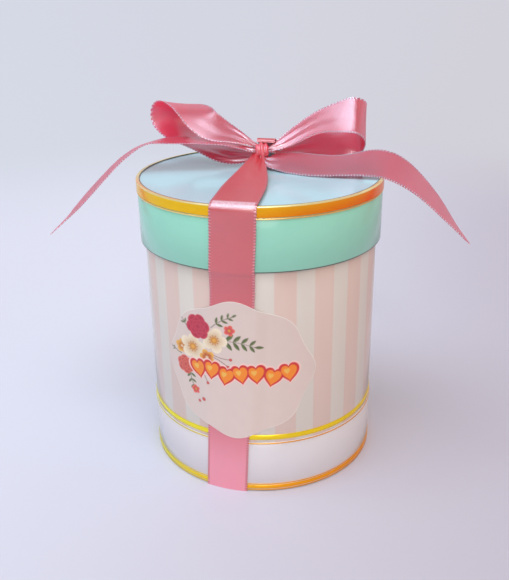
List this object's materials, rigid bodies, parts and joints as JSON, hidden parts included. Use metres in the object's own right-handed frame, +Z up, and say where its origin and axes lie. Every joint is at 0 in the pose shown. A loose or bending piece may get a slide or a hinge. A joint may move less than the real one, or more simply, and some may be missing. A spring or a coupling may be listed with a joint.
{
  "type": "candy box",
  "caption": "Round two-piece paper box with a slip-over lid, gold foil lines, a scalloped front label and a satin ribbon tied in a bow over the lid.",
  "frame": {"origin": "on the box's axis, at the level of the surface that the box stands on", "axes": "+Z up along the box's axis, which is also the lid's lifting direction; -Y is the front with the label; +X is to the right as seen from the front"},
  "size_m": [0.1459, 0.0884, 0.1284],
  "materials": {
    "board": "white lined grey board, matt",
    "striped_paper": "gloss laminated paper with cream and pink stripes",
    "band_paper": "gloss laminated white paper",
    "mint_paper": "gloss laminated mint paper",
    "gold_foil": "hot stamped bright gold foil",
    "label_paper": "coated label paper with a printed posy",
    "satin_ribbon": "rose pink single face satin with woven edge loops"
  },
  "bodies": {
    "box_body": {"body_tube": "board", "base_disc": "board", "body_wrap": "striped_paper", "base_band": "band_paper", "waist_gold_band": "gold_foil", "waist_gold_line": "gold_foil", "foot_gold_band": "gold_foil", "foot_gold_lines": "gold_foil", "label": "label_paper", "strap_front": "satin_ribbon", "strap_under": "satin_ribbon", "strap_back": "satin_ribbon"},
    "lid": {"lid_tube": "board", "lid_disc": "board", "lid_side_wrap": "mint_paper", "lid_top_paper": "mint_paper", "lid_gold_band": "gold_foil", "lid_gold_line": "gold_foil", "lid_strap_front": "satin_ribbon", "lid_strap_back": "satin_ribbon", "knot": "satin_ribbon", "bow_loop_left": "satin_ribbon", "bow_loop_right": "satin_ribbon", "tail_left": "satin_ribbon", "tail_right": "satin_ribbon"}
  },
  "joints": [
    {"name": "lid_lift", "type": "slide", "parent": "box_body", "child": "lid", "axis": [0, 0, 1], "range_m": [0, 0.1]}
  ]
}
